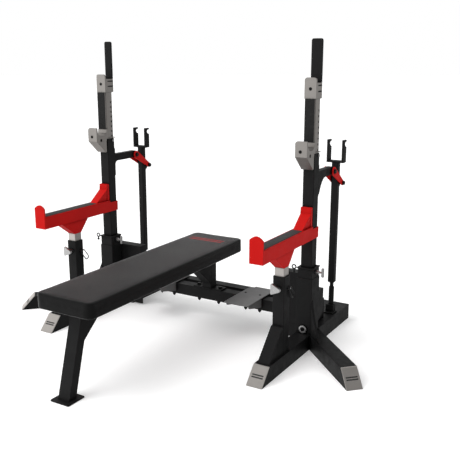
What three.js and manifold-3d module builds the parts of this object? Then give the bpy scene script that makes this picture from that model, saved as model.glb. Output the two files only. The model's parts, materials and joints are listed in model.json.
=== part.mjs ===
// Competition bench press with two height-adjustable stands, in millimetres.
// X runs across the bench, Y along it towards the head end, Z up, floor at z = 0.
// Each stand group sits at its upright; inside it, "side" is +1 or -1 for the outward X direction.
import * as THREE from "three";
import { mergeVertices } from "three/addons/utils/BufferGeometryUtils.js";
import Module from "manifold-3d";

const wasm = await Module();
wasm.setup();

// ---- driving dimensions ----
const GAP = 0.3; // clearance between welded or bolted neighbours
const STAND_X = 616; // upright centre line from the middle of the bench

const PAD = { half: 152, foot: -1043, head: 182, top: 445, thick: 70, corner: 22 };
const BOARD = { thick: 10, inset: 30 };
const SPINE = { half: 25, top: PAD.top - PAD.thick - BOARD.thick, deep: 24, y0: -962, y1: 112 };
const COLUMN = { y: 76, half: 28.5, bore: 25, gussetLow: 205, plateHalf: 88 };
const LEG = { half: 30, footFront: -1062, topFront: -966, deep: 45, wall: 4 };
const FOOT_PLATE = { half: 51, y0: -1088, y1: -987, thick: 6 };

const BEAM = { half: 39, high: 76, wall: 4, toe: -540, slope: 70, plate: 6 };
const REAR_BOX = { outer: 43, inner: -110, y0: 45, y1: 463, high: 80 };
const WALL_INNER = -176; // where the stand's bracket wall meets the crossmember
const DIAGONAL = { half: 38, reach: 540, rootY: 42 };
const FIN = { foot: 215, top: 250, near: 84, inset: 4, thick: 12 };

const POST = { y: -292, half: 29, bore: 24.4, top: 441 };
const ARM_TUBE = { half: 24, bore: 20, bottom: 190, top: 480.7, holes: 6 };
const PIN_PITCH = 25; // spacing of the safety arm's height holes
const POST_PIN_Z = 387;
const RING_PIN = { y: 12, z: -5, wire: 1.8, half: 12, long: 66, lean: 25 };
const PIN_REACH = 4.2; // how far the post pins enter the post's wall

const SLEEVE = { half: 41, rear: 44, flange: 43, bottom: BEAM.high, shoulder: 355, top: 408, boss: 21 };
const SLEEVE_PIN_Z = 385;
const BRACKET = { y1: 100, top: 350, outerTop: 277, outerLow: 118, outerRise: 150, railTop: 184, railY: 212 };
const OUTER = { half: 28.5, bore: 25.4, bottom: 80, top: 956 };
const INNER = { half: 25, bore: 21, bottom: 205, top: 1274 };
const HOLE = { radius: 5.5, y: 14, z: 945, pitch: 26, above: 8, below: 23 };

const RAIL = { high: 60, top: 172, frontY: [52, 110], rearY: [148, 206], reach: 440, plate: 8 };
const STEP = { x0: 198, x1: 340, y0: -100, y1: 178, top: 182, thick: 5, bow: 14 };

const COLLAR_REAR = 40; // the hook's base plate rings the tube and sits just above the outer tube
const HOOK = { half: 30, front: -118, lipTop: 1022, lipFoot: 949, toe: 884 };
const LINER = { half: 24, thick: 4, backing: 9, bottom: 1010 };
const TOP_BRACKET = { half: 30, plateTop: 1302, blockTop: 1278, bottom: 1207, rear: 38 };
const HORN = { half: 27, y0: 26, y1: 38, top: 1474, leftTrim: 11 };

const ARM = { half: 33, bottom: 551, top: 614, front: -536, endThick: 8, endTop: 672, collarTop: 603 };
const SHIELD = { half: 27, top: 706, front: -48, rear: -31, braceFoot: -138, braceTop: 678, footHalf: 23 };
const FUNNEL = { bottom: 481, y0: -412, y1: -206, half: 24, wall: 5 };
const ARM_PAD = { half: 27, low: 603, top: 616 };
const JACK = { armHalf: 15, armLow: 826, armHigh: 865, pivotY: 227, pivotZ: 842, lowY: 345, lowZ: 767 };
const LINK_END = 13; // radius round the links' lower pin
const GUSSET = { left: { low: 800, deep: 14 }, right: { low: 752, deep: 40 } };
const LEVER = { y: 307, half: 17, bore: 14.6, bottom: 245, top: 877, tineTop: 990, tineX: 40 };
const HANDLE = { radius: 14, bottom: 88, top: 520 };
const CRADLE = { half: 21, plateHalf: 30, y0: 262, cupY: 286, y1: 318, z1: 122 };

// ---- finishes ----
const finish = (color, roughness, metalness) => ({ color, roughness, metalness });
const BLACK_STEEL = finish(0x1c1c1d, 0.55, 0.35);
const RED_STEEL = finish(0xc8171a, 0.4, 0.2);
const STAINLESS = finish(0xb4afa9, 0.32, 1.0);
const ZINC = finish(0xc9c9c6, 0.28, 1.0);
const GREY_STEEL = finish(0x5b5b5d, 0.6, 0.4);
const RUBBER = finish(0x2b2b2c, 0.85, 0.0);
const BLACK_PLASTIC = finish(0x151516, 0.5, 0.0);
const VINYL = finish(0x232324, 0.55, 0.0);
const PLYWOOD = finish(0x8d6b43, 0.75, 0.0);

// ---- solids ----
function solid(geometry) {
  geometry.deleteAttribute("normal");
  geometry.deleteAttribute("uv");
  const merged = mergeVertices(geometry, 1e-4);
  return new wasm.Manifold(
    new wasm.Mesh({
      numProp: 3,
      vertProperties: new Float32Array(merged.attributes.position.array),
      triVerts: new Uint32Array(merged.index.array),
    }),
  );
}

function block([x0, x1], [y0, y1], [z0, z1]) {
  const geometry = new THREE.BoxGeometry(x1 - x0, y1 - y0, z1 - z0);
  return solid(geometry.translate((x0 + x1) / 2, (y0 + y1) / 2, (z0 + z1) / 2));
}

// A round bar along "x", "y" or "z" between two stations, centred on the other two coordinates.
function bar(axis, radius, from, to, centre, segments = 16) {
  const geometry = new THREE.CylinderGeometry(radius, radius, to - from, segments);
  const middle = (from + to) / 2;
  if (axis === "x") {
    return solid(geometry.rotateZ(Math.PI / 2).translate(middle, centre[0], centre[1]));
  }
  if (axis === "y") return solid(geometry.translate(centre[0], middle, centre[1]));
  return solid(geometry.rotateX(Math.PI / 2).translate(centre[0], centre[1], middle));
}

const toShape = (points) => new THREE.Shape(points.map(([u, v]) => new THREE.Vector2(u, v)));
const extrude = (shape, depth, curveSegments = 6) =>
  new THREE.ExtrudeGeometry(shape, { depth, bevelEnabled: false, curveSegments });
const [EX, EY, EZ] = [
  new THREE.Vector3(1, 0, 0),
  new THREE.Vector3(0, 1, 0),
  new THREE.Vector3(0, 0, 1),
];
const AS_YZ = new THREE.Matrix4().makeBasis(EY, EZ, EX);
const AS_ZX = new THREE.Matrix4().makeBasis(EZ, EX, EY);

// A side profile in (y, z), swept across X.
function sideProfile(points, [x0, x1]) {
  const shape = points instanceof THREE.Shape ? points : toShape(points);
  return solid(extrude(shape, x1 - x0).applyMatrix4(AS_YZ).translate(x0, 0, 0));
}

// A front profile in (z, x), swept along Y.
function frontProfile(shape, [y0, y1]) {
  return solid(extrude(shape, y1 - y0).applyMatrix4(AS_ZX).translate(0, y0, 0));
}

// A plan profile in (x, y), raised along Z.
function planProfile(shape, [z0, z1]) {
  return solid(extrude(shape, z1 - z0).translate(0, 0, z0));
}

function roundedRect(u0, u1, v0, v1, radius) {
  const shape = new THREE.Shape();
  shape.moveTo(u0 + radius, v0);
  shape.lineTo(u1 - radius, v0);
  shape.absarc(u1 - radius, v0 + radius, radius, -Math.PI / 2, 0);
  shape.lineTo(u1, v1 - radius);
  shape.absarc(u1 - radius, v1 - radius, radius, 0, Math.PI / 2);
  shape.lineTo(u0 + radius, v1);
  shape.absarc(u0 + radius, v1 - radius, radius, Math.PI / 2, Math.PI);
  shape.lineTo(u0, v0 + radius);
  shape.absarc(u0 + radius, v0 + radius, radius, Math.PI, Math.PI * 1.5);
  return shape;
}

// Upright square tube: outside half width, bore half width, centre (x, y) and height range.
function squareTube(half, bore, [x, y], [z0, z1], corner = 4) {
  const outside = roundedRect(x - half, x + half, y - half, y + half, corner);
  const tube = solid(extrude(outside, z1 - z0, 2).translate(0, 0, z0));
  return tube.subtract(block([x - bore, x + bore], [y - bore, y + bore], [z0 - 1, z1 + 1]));
}

function turned(manifold, degrees, [x, y]) {
  return manifold.rotate([0, 0, degrees]).translate([x, y, 0]);
}

function piece(name, manifold, look) {
  const data = manifold.getMesh();
  const geometry = new THREE.BufferGeometry();
  geometry.setAttribute("position", new THREE.BufferAttribute(data.vertProperties, 3));
  geometry.setIndex(new THREE.BufferAttribute(data.triVerts, 1));
  const mesh = new THREE.Mesh(geometry, new THREE.MeshStandardMaterial(look));
  mesh.name = name;
  return mesh;
}

// ---- stand: floor frame ----
function slopedBeam(half, from, toe, wall) {
  const top = toe + BEAM.slope;
  const shell = sideProfile(
    [
      [toe, 0],
      [from, 0],
      [from, BEAM.high],
      [top, BEAM.high],
    ],
    [-half, half],
  );
  const hollow = block(
    [-half + wall, half - wall],
    [toe - 1, from - wall],
    [wall, BEAM.high - wall],
  );
  return shell.subtract(hollow);
}

function toePlate(half, toe) {
  const top = toe + BEAM.slope;
  return sideProfile(
    [
      [toe - BEAM.plate, 0],
      [toe - GAP, 0],
      [top - GAP, BEAM.high],
      [top - BEAM.plate, BEAM.high],
    ],
    [-half, half],
  );
}

function rearBox(side) {
  const [inner, outer] = [REAR_BOX.inner * side, REAR_BOX.outer * side].sort((a, b) => a - b);
  const pan = block([inner, outer], [REAR_BOX.y0, REAR_BOX.y1], [0, REAR_BOX.high]);
  const wall = BEAM.wall;
  const inside = block(
    [inner + wall, outer - wall],
    [REAR_BOX.y0 + wall, REAR_BOX.y1 - wall],
    [-1, REAR_BOX.high - wall],
  );
  return pan.subtract(inside);
}

// The low plate that carries the floor frame inwards under the bracket wall.
function innerPlate(side) {
  const span = [WALL_INNER * side, (REAR_BOX.inner + 1) * side].sort((a, b) => a - b);
  return block(span, [REAR_BOX.y0, REAR_BOX.y0 + 10], [8, REAR_BOX.high]);
}

function baseFrame(side) {
  return slopedBeam(BEAM.half, REAR_BOX.y0 + 1, BEAM.toe, BEAM.wall)
    .add(rearBox(side))
    .add(innerPlate(side));
}

// The diagonal leg runs along -Y in its own frame and is then turned 45 degrees outwards.
// Its curved fin stands on the side that faces the bench.
function diagonalLeg(side) {
  const { half, reach, rootY } = DIAGONAL;
  const { foot, top, near, inset, thick } = FIN;
  const curve = new THREE.Shape();
  curve.moveTo(0, BEAM.high - 1);
  curve.lineTo(0, top);
  curve.lineTo(-near, top);
  curve.quadraticCurveTo(-near - 50, BEAM.high + 40, -foot, BEAM.high);
  curve.lineTo(-foot, BEAM.high - 1);
  const finSpan = [side * (inset - half), side * (inset + thick - half)].sort((a, b) => a - b);
  const leg = slopedBeam(half, 0, -reach, BEAM.wall).add(sideProfile(curve, finSpan));
  const span = [-400, 400];
  const across = [-REAR_BOX.outer - GAP, REAR_BOX.outer + GAP];
  const beamSpace = block([-BEAM.half - GAP, BEAM.half + GAP], span, [-1, 400]);
  const sleeveSpace = block([-SLEEVE.half - GAP, SLEEVE.half + GAP], span, [BEAM.high - 1, 400]);
  const boxSpace = block(across, [REAR_BOX.y0 - GAP, 400], [-1, 400]);
  const innerSide = side > 0 ? block([-400, 0], span, [-1, 400]) : block([0, 400], span, [-1, 400]);
  return turned(leg, 45 * side, [0, rootY])
    .subtract(beamSpace)
    .subtract(sleeveSpace)
    .subtract(boxSpace)
    .subtract(innerSide);
}

function diagonalToe(side) {
  return turned(toePlate(DIAGONAL.half, -DIAGONAL.reach), 45 * side, [0, DIAGONAL.rootY]);
}

function postBrace() {
  const rear = POST.y - POST.half - GAP;
  const low = BEAM.high + GAP;
  const outline = [
    [-459, low],
    [rear, low],
    [rear, 208],
    [-332, 208],
  ];
  const core = [
    [-450, low - 1],
    [rear - 4, low - 1],
    [rear - 4, 199],
    [-335, 199],
  ];
  const half = POST.half;
  return sideProfile(outline, [-half, half]).subtract(sideProfile(core, [4 - half, half - 4]));
}

function safetyPost() {
  const range = [BEAM.high + GAP, POST.top];
  return squareTube(POST.half, POST.bore, [0, POST.y], range)
    .subtract(bar("y", 5.3, POST.y - 40, POST.y - 10, [0, POST_PIN_Z]))
    .subtract(bar("x", 4.3, 10, 40, [POST.y + RING_PIN.y, POST_PIN_Z + RING_PIN.z]));
}

// ---- stand: upright ----
// Fabricated socket for the upright, with the bracket wall that carries the bench's cross rails.
function uprightSleeve(side) {
  const { half, rear, flange, bottom, shoulder, top, boss } = SLEEVE;
  const { y1, outerTop, outerLow, outerRise, railTop, railY } = BRACKET;
  const bore = OUTER.half + GAP;
  const low = REAR_BOX.high + GAP;
  const body = block([-half, half], [-half - 1, rear], [bottom + GAP, shoulder])
    .add(block([3 - half, half - 3], [2 - half, rear], [shoulder - 1, top - 6]))
    .add(block([-flange, flange], [-flange, flange], [top - 6, top]));
  const inward = [0, WALL_INNER * side].sort((a, b) => a - b);
  const outward = [0, half * side].sort((a, b) => a - b);
  const pocket = [-10 * side, (half - 5) * side].sort((a, b) => a - b);
  const outerWall = [
    [rear - 1, outerLow],
    [y1, outerRise],
    [y1, outerTop],
    [rear - 1, outerTop],
  ];
  const wall = block(inward, [rear - 1, y1], [low, BRACKET.top])
    .add(block(inward, [y1 - 1, railY], [low, railTop]))
    .add(sideProfile(outerWall, outward));
  const hollow = block([inward[0] + 5, inward[1] - 5], [rear + 5, y1 - 5], [low - 1, BRACKET.top - 6])
    .add(block(pocket, [rear + 5, y1 - 5], [outerRise + 6, outerTop - 6]));
  return body
    .subtract(block([-bore, bore], [-bore, bore], [bottom - 1, top + 1]))
    .add(wall.subtract(hollow))
    .subtract(bar("x", 5.3, 20, 60, [0, SLEEVE_PIN_Z]))
    .add(bar("y", boss, -half - 8, -half, [0, 98], 24))
    .subtract(bar("y", boss / 2, -half - 9, -half - 1, [0, 98], 12));
}

function uprightOuter() {
  return squareTube(OUTER.half, OUTER.bore, [0, 0], [OUTER.bottom, OUTER.top])
    .subtract(bar("x", 5.3, 20, 40, [0, SLEEVE_PIN_Z]))
    .subtract(bar("x", 5.2, 20, 40, [HOLE.y, HOLE.z], 12));
}

function uprightInner() {
  let tube = squareTube(INNER.half, INNER.bore, [0, 0], [INNER.bottom, INNER.top], 3);
  for (let step = -HOLE.below; step <= HOLE.above; step++) {
    const z = HOLE.z + step * HOLE.pitch;
    tube = tube.subtract(bar("x", HOLE.radius, 10, 40, [HOLE.y, z], 8));
  }
  return tube;
}

// ---- bar hook, liner, top bracket and horn ----
function barHook() {
  const { half, front, lipTop, lipFoot, toe } = HOOK;
  const back = -INNER.half - GAP;
  const face = sideProfile(
    [
      [front, lipFoot],
      [front + 72, toe],
      [front + 78, toe + 6],
      [front + 78, OUTER.top - 14],
      [front + 82, OUTER.top + 3],
      [back, OUTER.top + 3],
      [back, 1010],
      [back - 10, 1010],
      [back - 14, 990],
      [back - 32, 976],
      [front + 30, 978],
      [front + 10, 992],
      [front + 7, lipTop],
      [front, lipTop],
    ],
    [-half, half],
  );
  const pocket = sideProfile(
    [
      [front + 7, lipFoot + 2],
      [front + 68, toe + 12],
      [front + 90, toe - 12],
      [front + 90, OUTER.top + 12],
      [front + 60, 966],
      [front + 30, 966],
      [front + 7, 974],
    ],
    [7 - half, half - 7],
  );
  const corner = new THREE.Shape();
  corner.moveTo(lipTop + 1, -half - 1);
  corner.lineTo(lipTop + 1, 14 - half);
  corner.absarc(lipTop - 14, 14 - half, 14, 0, -Math.PI / 2, true);
  corner.lineTo(lipTop - 14, -half - 1);
  const window = bar("x", 8, -half - 1, half + 1, [front + 36, 954], 12);
  const seat = [OUTER.top + 3, OUTER.top + 7];
  const ring = INNER.half + GAP;
  const collar = block([-OUTER.half, OUTER.half], [back - 8, COLLAR_REAR], seat);
  return face
    .subtract(pocket)
    .add(collar)
    .subtract(block([-ring, ring], [-ring, ring], [OUTER.top, OUTER.top + 20]))
    .subtract(window)
    .subtract(frontProfile(corner, [front - 1, front + 20]))
    .subtract(bar("y", 5, front - 1, front + 20, [-4, 974], 12));
}

function hookLiner() {
  const { half, thick, backing, bottom } = LINER;
  const back = -INNER.half - GAP - backing;
  return block([-half, half], [back - thick, back], [bottom + GAP, TOP_BRACKET.bottom - GAP]);
}

// The catch plate and its clamp, with the strip that backs the liner down to the hook.
function topBracket() {
  const { half, plateTop, blockTop, bottom, rear } = TOP_BRACKET;
  const bore = INNER.half + GAP;
  const front = -bore - 8;
  const plate = roundedRect(bottom, plateTop, -half, half, 13);
  const strip = [1 - LINER.half, LINER.half - 1];
  let bracket = frontProfile(plate, [front, -bore])
    .add(block([-half, half], [front, -bore], [bottom, bottom + 30]))
    .add(block([3 - half, half - 3], [-bore - 1, rear], [bottom, blockTop]))
    .add(block(strip, [front, -bore], [LINER.bottom + GAP, bottom + 1]))
    .subtract(block([-bore, bore], [-bore, bore], [LINER.bottom, INNER.top + 0.5]))
    .subtract(bar("y", 5, -60, -20, [0, 1251], 12));
  for (const z of [1239, 1266]) {
    for (const x of [-1, 1]) {
      const [a, b] = [x * 26, x * 40].sort((p, q) => p - q);
      bracket = bracket.subtract(block([a, b], [4, rear - 4], [z - 3, z + 3]));
    }
  }
  return bracket;
}

// The left stand's horn is narrower on its outward side.
function guideHorn(side) {
  const { half, y0, y1, top, leftTrim } = HORN;
  const low = TOP_BRACKET.blockTop + GAP;
  const from = side > 0 ? -half : leftTrim - half;
  const shape = roundedRect(low, top, from, half, 10);
  return frontProfile(shape, [y0, y1]).add(block([from, half], [y0, y1], [low, low + 20]));
}

// ---- safety arm ----
function armShield() {
  const { half: wide, top, front, rear, braceFoot, braceTop, footHalf } = SHIELD;
  const taper = toShape([
    [ARM.top - 2, -footHalf],
    [braceTop, -wide],
    [braceTop, wide],
    [ARM.top - 2, footHalf],
  ]);
  const wedge = sideProfile(
    [
      [braceFoot, ARM.top - 2],
      [front + 1, ARM.top - 2],
      [front + 1, braceTop],
    ],
    [-wide, wide],
  );
  const brace = wedge.intersect(frontProfile(taper, [braceFoot, front + 1]));
  return block([-wide, wide], [front, rear], [ARM.top - 2, top]).add(brace);
}

// The folded funnel under the beam, "inset" millimetres smaller all round.
function armFunnel(inset, top) {
  const { bottom, y0, y1, half } = FUNNEL;
  const outline = [
    [y0 + 2 * inset, top],
    [POST.y - half + inset, bottom + inset],
    [POST.y + half - inset, bottom + inset],
    [y1 - 2 * inset, top],
  ];
  return sideProfile(outline, [inset - half, half - inset]);
}

function safetyArm() {
  const { half, bottom, top, front, endThick, endTop, collarTop } = ARM;
  const rear = OUTER.half + 4;
  const bore = OUTER.half + 0.8;
  const wall = 6;
  const padFrom = front + endThick + 2;
  const end = new THREE.Shape();
  end.moveTo(bottom, -half);
  end.lineTo(endTop - 18, -half);
  end.quadraticCurveTo(endTop + 18, 0, endTop - 18, half);
  end.lineTo(bottom, half);
  const recess = ARM_PAD.half + GAP;
  const hollow = block([wall - half, half - wall], [padFrom + 8, -20], [bottom + wall, collarTop - wall]);
  return block([-half, half], [front + endThick - 1, rear], [bottom, top])
    .subtract(block([-half - 1, half + 1], [SHIELD.rear, rear + 1], [collarTop, top + 1]))
    .subtract(block([-recess, recess], [padFrom, SHIELD.braceFoot], [ARM_PAD.low, top + 1]))
    .add(frontProfile(end, [front, front + endThick]))
    .add(armShield())
    .add(armFunnel(0, bottom + 1))
    .subtract(hollow)
    .subtract(armFunnel(FUNNEL.wall, bottom + wall + 1))
    .subtract(block([-bore, bore], [-bore, bore], [bottom - 1, SHIELD.top]));
}

function armPad() {
  const { half, low, top } = ARM_PAD;
  const from = ARM.front + ARM.endThick + 2 + GAP;
  return block([-half, half], [from, SHIELD.braceFoot - GAP], [low + GAP, top]);
}

function armTube() {
  const { half, bore, bottom, top, holes } = ARM_TUBE;
  let tube = squareTube(half, bore, [0, POST.y], [bottom, top], 3);
  for (let step = 0; step < holes; step++) {
    const z = POST_PIN_Z - step * PIN_PITCH;
    tube = tube
      .subtract(bar("y", 5.5, POST.y - 40, POST.y, [0, z], 8))
      .subtract(bar("x", 4.5, 0, 40, [POST.y + RING_PIN.y, z + RING_PIN.z], 8));
  }
  return tube;
}

// ---- pins ----
// Each pin's tip stops just short of the tube that it locks, so the tube can be shown at any height.

// A spring pin with a flat wing to pull, on the post's front face.
function postWingPin() {
  const y = POST.y - POST.half;
  const wing = toShape([
    [26, -22],
    [28, -16],
    [7, 22],
    [0, 25],
    [-6, 22],
    [-22, -16],
    [-20, -22],
  ]);
  const plate = frontProfile(wing, [y - 38, y - 26]).translate([0, 0, POST_PIN_Z]);
  return bar("y", 5, y - 30, y + PIN_REACH, [0, POST_PIN_Z])
    .add(bar("y", 10, y - 27, y - 1, [0, POST_PIN_Z], 12))
    .add(plate);
}

// A snap pin on the +X face of the post; its long wire loop trails down towards the sleeve.
function postRingPin() {
  const x = POST.half;
  const [y, z] = [POST.y + RING_PIN.y, POST_PIN_Z + RING_PIN.z];
  const { wire, half, long, lean } = RING_PIN;
  const outer = roundedRect(-half, half, -long, 4, half - 1);
  const inner = roundedRect(2 * wire - half, half - 2 * wire, 2 * wire - long, 4 - 2 * wire, half - 5);
  const loop = solid(extrude(outer, 2 * wire, 3)).subtract(
    solid(extrude(inner, 4 * wire, 3).translate(0, 0, -wire)),
  );
  const hung = loop.rotate([90, 0, 90]).rotate([lean, 0, 0]).translate([x + 6, y, z]);
  return bar("x", 4, x - PIN_REACH, x + 12, [y, z], 12)
    .add(bar("x", 7, x + 1, x + 6.5, [y, z], 12))
    .add(hung);
}

function sleeveTeePin() {
  const x = SLEEVE.flange - 5;
  const grip = bar("z", 7, SLEEVE_PIN_Z - 23, SLEEVE_PIN_Z + 23, [x + 38, 0], 12);
  return bar("x", 5, INNER.half + 1, x + 38, [0, SLEEVE_PIN_Z], 12)
    .add(bar("x", 10, x + 1, x + 18, [0, SLEEVE_PIN_Z], 12))
    .add(grip);
}

// A ring-topped pin on the sleeve's -X front corner, below its flange.
function sleeveRingPin() {
  const ring = solid(new THREE.TorusGeometry(11, 2.2, 6, 12).rotateX(Math.PI / 2));
  return bar("z", 4, 0.5, 18, [0, 0], 12)
    .add(bar("z", 7, 0.5, 6, [0, 0], 12))
    .add(ring.translate([0, 0, 28]))
    .translate([-SLEEVE.flange - 14, -SLEEVE.half, SLEEVE.top - 28]);
}

// A flush spring button at the top of the outer tube, level with the column of height holes.
function uprightLockPin() {
  const x = OUTER.half;
  const at = [HOLE.y, HOLE.z];
  return bar("x", 5, OUTER.bore + 0.2, x + 2, at, 12).add(bar("x", 7, x + 1, x + 5, at, 12));
}

// ---- bar jack: arm, links, lever and handle ----
// The right arm has the deeper gusset under it.
function jackArm(side) {
  const { armHalf, armLow, armHigh, pivotY, pivotZ } = JACK;
  const start = OUTER.half + GAP;
  const { low, deep } = side > 0 ? GUSSET.right : GUSSET.left;
  const web = new THREE.Shape();
  web.moveTo(start, low);
  web.lineTo(start + deep, low);
  web.quadraticCurveTo(start + 1.75 * deep, armLow, start + 2.75 * deep, armLow);
  web.lineTo(pivotY + 16, armLow);
  web.lineTo(pivotY + 16, armHigh - 12);
  web.lineTo(pivotY + 4, armHigh);
  web.lineTo(start, armHigh);
  const flange = block([-26, 26], [start, start + 6], [750, 898]);
  return sideProfile(web, [-armHalf, armHalf])
    .add(flange)
    .subtract(bar("x", 8.3, -40, 40, [pivotY, pivotZ], 16));
}

// Two side plates joined by the pivot pin through the arm and the pin behind the lever.
function jackLinks() {
  const { pivotY, pivotZ, lowY, lowZ } = JACK;
  const length = Math.hypot(lowY - pivotY, lowZ - pivotZ);
  const slant = THREE.MathUtils.radToDeg(Math.atan2(lowZ - pivotZ, lowY - pivotY));
  const shape = new THREE.Shape();
  shape.moveTo(0, 22);
  shape.absarc(0, 0, 22, Math.PI / 2, Math.PI * 1.5);
  shape.lineTo(length, -LINK_END);
  shape.absarc(length, 0, LINK_END, -Math.PI / 2, Math.PI / 2);
  const plates = [
    [-26, -20],
    [20, 26],
  ].map((range) => sideProfile(shape, range));
  const pins = bar("x", 8, -29, 29, [0, 0], 16).add(bar("x", 8, -29, 29, [length, 0], 16));
  return plates[0].add(plates[1]).add(pins).rotate([slant, 0, 0]).translate([0, pivotY, pivotZ]);
}

function jackLever() {
  const { y, half, bore, bottom, top, tineTop, tineX } = LEVER;
  const tube = squareTube(half, bore, [0, y], [bottom, top], 4);
  const lug = sideProfile(
    [
      [y + half - 1, JACK.lowZ - 34],
      [JACK.lowY + 4, JACK.lowZ - 13],
      [JACK.lowY + 13, JACK.lowZ],
      [JACK.lowY + 4, JACK.lowZ + 13],
      [y + half - 1, JACK.lowZ + 34],
    ],
    [-10, 10],
  );
  const cross = block([-tineX - 5, tineX + 5], [y - 19, y + 19], [top - 1, top + 8]);
  const tine = sideProfile(
    [
      [y - 19, top],
      [y + 19, top],
      [y + 19, tineTop - 36],
      [y + 4, tineTop - 30],
      [y - 2, tineTop - 20],
      [y + 4, tineTop - 11],
      [y + 19, tineTop - 9],
      [y + 19, tineTop],
      [y - 19, tineTop],
    ],
    [-5, 5],
  );
  const plug = block([-half + 1, half - 1], [y - half + 1, y + half - 1], [top - 20, top]);
  return tube
    .add(plug)
    .add(lug)
    .add(cross)
    .add(tine.translate([-tineX, 0, 0]))
    .add(tine.translate([tineX, 0, 0]))
    .subtract(bar("x", 8.3, -20, 20, [JACK.lowY, JACK.lowZ], 16));
}

function jackHandle() {
  const { radius, bottom, top } = HANDLE;
  const centre = [0, LEVER.y];
  const neck = LEVER.bottom - 26;
  return bar("z", radius, bottom, neck - 2, centre)
    .add(bar("z", radius - 4, neck - 3, LEVER.bottom - 3, centre))
    .add(bar("z", radius, LEVER.bottom - 4, top, centre));
}

// A cup that is open to the rear, so the handle's foot can swing out of it.
function handleCradle() {
  const { half, plateHalf, y0, cupY, y1, z1 } = CRADLE;
  const low = REAR_BOX.high + GAP;
  const slot = HANDLE.radius + 1;
  return block([-half, half], [cupY, y1], [low, z1])
    .add(block([-plateHalf, plateHalf], [y0, y1], [low, low + 5]))
    .subtract(block([-slot, slot], [LEVER.y, y1 + 1], [low + 5, z1 + 1]))
    .subtract(bar("z", slot, low + 5, z1 + 1, [0, LEVER.y]));
}

// ---- bench ----
function benchPad() {
  const { half, foot, head, top, thick, corner } = PAD;
  return planProfile(roundedRect(-half, half, foot, head, corner), [top - thick, top]);
}

function padBoard() {
  const { half, foot, head, top, thick, corner } = PAD;
  const inset = BOARD.inset;
  const shape = roundedRect(inset - half, half - inset, foot + inset, head - inset, corner / 2);
  return planProfile(shape, [SPINE.top + GAP, top - thick]);
}

function tubeAlongY(half, [y0, y1], [z0, z1], wall) {
  const outside = block([-half, half], [y0, y1], [z0, z1]);
  return outside.subtract(
    block([wall - half, half - wall], [y0 - 1, y1 + 1], [z0 + wall, z1 - wall]),
  );
}

// The tube under the board, with three cross straps and the bracket block beneath it.
function benchSpine() {
  const { half, top, deep, y0, y1 } = SPINE;
  const low = top - deep;
  let spine = tubeAlongY(half, [y0, y1], [low, top], 3);
  spine = spine.add(block([-half, half], [-612, -560], [low - 22, low + 1]));
  for (const y of [-880, -500, -60]) {
    spine = spine.add(block([-115, 115], [y - 25, y + 25], [top - 5, top]));
  }
  return spine;
}

function benchLeg() {
  const { half, footFront, topFront, deep, wall } = LEG;
  const top = SPINE.top - SPINE.deep - GAP;
  const leg = sideProfile(
    [
      [footFront, 5],
      [footFront + deep, 5],
      [topFront + deep, top],
      [topFront, top],
    ],
    [-half, half],
  );
  const bore = sideProfile(
    [
      [footFront + wall, 4],
      [footFront + deep - wall, 4],
      [topFront + deep - wall, top + 1],
      [topFront + wall, top + 1],
    ],
    [wall - half, half - wall],
  );
  const gusset = sideProfile(
    [
      [topFront + deep - 36, 232],
      [topFront + deep + 85, top - 5],
      [topFront + deep + 85, top],
      [topFront + deep - 3, top],
    ],
    [-half, half],
  );
  const { y0, y1, thick } = FOOT_PLATE;
  const foot = planProfile(roundedRect(-FOOT_PLATE.half, FOOT_PLATE.half, y0, y1, 6), [0, thick]);
  return leg.subtract(bore).add(gusset).add(foot);
}

function benchColumn() {
  const { y, half, bore, gussetLow, plateHalf } = COLUMN;
  const top = SPINE.top - SPINE.deep - GAP;
  const low = RAIL.top + GAP;
  const gusset = sideProfile(
    [
      [y - half + 1, gussetLow],
      [y - half + 1, top],
      [-100, top],
      [-100, top - 6],
    ],
    [-half, half],
  );
  const plate = block([-plateHalf, plateHalf], RAIL.frontY, [low, low + 7]);
  return squareTube(half, bore, [0, y], [low, top]).add(gusset).add(plate);
}

function crossmember() {
  const { high, top, frontY, rearY, reach, plate } = RAIL;
  let frame = null;
  for (const [y0, y1] of [frontY, rearY]) {
    const outside = block([-reach + plate, reach - plate], [y0, y1], [top - high, top]);
    const bore = block([-reach + 1, reach - 1], [y0 + 3, y1 - 3], [top - high + 3, top - 3]);
    const rail = outside.subtract(bore);
    frame = frame ? frame.add(rail) : rail;
  }
  for (const side of [-1, 1]) {
    const ends = [side * (reach - plate - 1), side * (reach - GAP)].sort((a, b) => a - b);
    const span = [frontY[0] - 5, rearY[1] + 5];
    const openings = [frontY, rearY].map(([y0, y1]) =>
      block([ends[0] - 1, ends[1] + 1], [y0 + 12, y1 - 12], [top - high + 12, top - 12]),
    );
    const plateSolid = block(ends, span, [top - high - 12, top + 10]);
    frame = frame.add(plateSolid.subtract(openings[0]).subtract(openings[1]));
  }
  return frame;
}

// Steel footboard with bowed ends and a stiffening flange under each edge.
function footStep(side) {
  const { x0, x1, y0, y1, top, thick, bow } = STEP;
  const shape = new THREE.Shape();
  shape.moveTo(x0, y0);
  shape.quadraticCurveTo((x0 + x1) / 2, y0 - bow, x1, y0);
  shape.lineTo(x1, y1);
  shape.quadraticCurveTo((x0 + x1) / 2, y1 + bow, x0, y1);
  const board = planProfile(shape, [top - thick, top]);
  const flange = [
    [-92, top - thick + 1],
    [-78, 158],
    [RAIL.frontY[0] - GAP, 126],
    [RAIL.frontY[0] - GAP, top - thick + 1],
  ];
  const packer = [RAIL.top + GAP, top - thick + 1];
  const step = board
    .add(sideProfile(flange, [x0 + 4, x0 + 9]))
    .add(sideProfile(flange, [x1 - 9, x1 - 4]))
    .add(block([x0 + 20, x1 - 20], RAIL.frontY, packer))
    .add(block([x0 + 20, x1 - 20], RAIL.rearY, packer));
  return side > 0 ? step : step.mirror([1, 0, 0]);
}

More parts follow.
